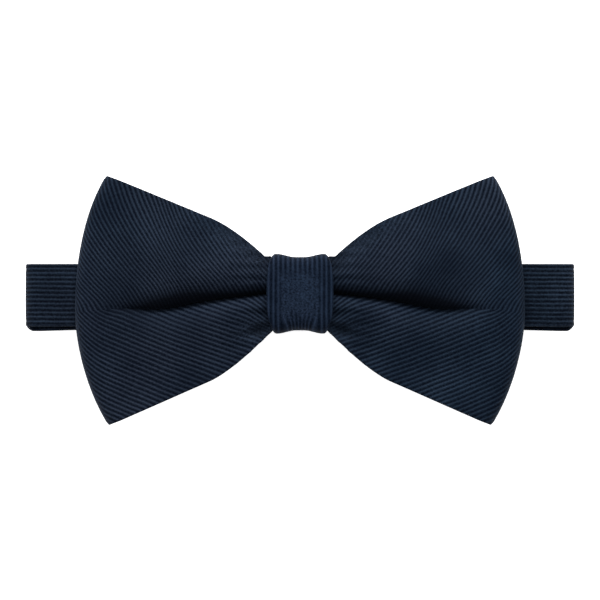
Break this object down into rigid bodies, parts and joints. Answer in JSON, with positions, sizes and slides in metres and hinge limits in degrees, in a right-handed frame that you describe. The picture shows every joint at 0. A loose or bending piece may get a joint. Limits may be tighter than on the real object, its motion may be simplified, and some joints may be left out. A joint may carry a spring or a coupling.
{
  "type": "pre-tied bow tie",
  "caption": "Pre-tied bow tie in ribbed silk: two looped wings pinched by a wrapped knot, on a folded adjustable neck band with a hook and an eye.",
  "frame": {"origin": "under the middle of the bow tie, on the plane that the folded neck band lies on", "axes": "+X along the bow to the wearer's left, +Y towards the bow's top edge, +Z out of the front of the knot"},
  "size_m": [0.1476, 0.066, 0.0182],
  "materials": {
    "wing_silk": "ribbed silk faille, soft sheen along the ribs",
    "knot_silk": "the same ribbed silk, drawn smooth over the knot",
    "band_silk": "ribbed silk faille, ribs along the band",
    "interlining": "matt wool and cotton canvas",
    "thread": "matt twisted sewing thread",
    "fittings": "satin nickel plate"
  },
  "bodies": {
    "bow": {"left_wing_front": "wing_silk", "left_wing_back": "wing_silk", "left_wing_interlining": "interlining", "right_wing_front": "wing_silk", "right_wing_back": "wing_silk", "right_wing_interlining": "interlining", "knot_band": "knot_silk", "knot_interlining": "interlining", "waist_binding": "thread", "knot_tack": "thread", "band_front_run": "band_silk", "left_band_fold": "band_silk", "right_band_fold": "band_silk"},
    "left_band": {"left_band_run": "band_silk"},
    "slide": {"band_through_slide": "band_silk", "slide_adjuster": "fittings", "slide_bar_loop": "band_silk", "slide_bartack": "thread", "band_outer_run": "band_silk", "band_return_run": "band_silk"},
    "hook_end": {"hook_bar_loop": "band_silk"},
    "hook": {"band_hook": "fittings"},
    "right_band": {"right_band_run": "band_silk", "eye_bar_loop": "band_silk", "eye_bartack": "thread"},
    "eye": {"band_eye": "fittings"}
  },
  "joints": [
    {"name": "left_band_unfold", "type": "hinge", "parent": "bow", "child": "left_band", "pos_m": [-0.0734, 0.0013, 0.00365], "axis": [0, 1, 0], "range_deg": [0, 180], "deforming": ["left_band_fold"]},
    {"name": "right_band_unfold", "type": "hinge", "parent": "bow", "child": "right_band", "pos_m": [0.0734, 0.0013, 0.00365], "axis": [0, -1, 0], "range_deg": [0, 180], "deforming": ["right_band_fold"]},
    {"name": "slide_travel", "type": "slide", "parent": "left_band", "child": "slide", "axis": [0.9996, 0.0279, 0], "range_m": [-0.018, 0.008], "deforming": ["left_band_run"]},
    {"name": "hook_take_up", "type": "slide", "parent": "slide", "child": "hook_end", "axis": [0.9996, 0.0279, 0], "range_m": [-0.004, 0.009], "deforming": ["band_outer_run", "band_return_run"]},
    {"name": "hook_tilt", "type": "hinge", "parent": "hook_end", "child": "hook", "pos_m": [-0.0129, 0.0016, 0.0015], "axis": [-0.0279, 0.9996, 0], "range_deg": [0, 110]},
    {"name": "eye_tilt", "type": "hinge", "parent": "right_band", "child": "eye", "pos_m": [0.01109, 0.00165, 0.0015], "axis": [-0.0279, -0.9996, 0], "range_deg": [0, 110]}
  ],
  "couplings": [
    {"joint": "hook_take_up", "follows": "slide_travel", "ratio": -0.5}
  ]
}
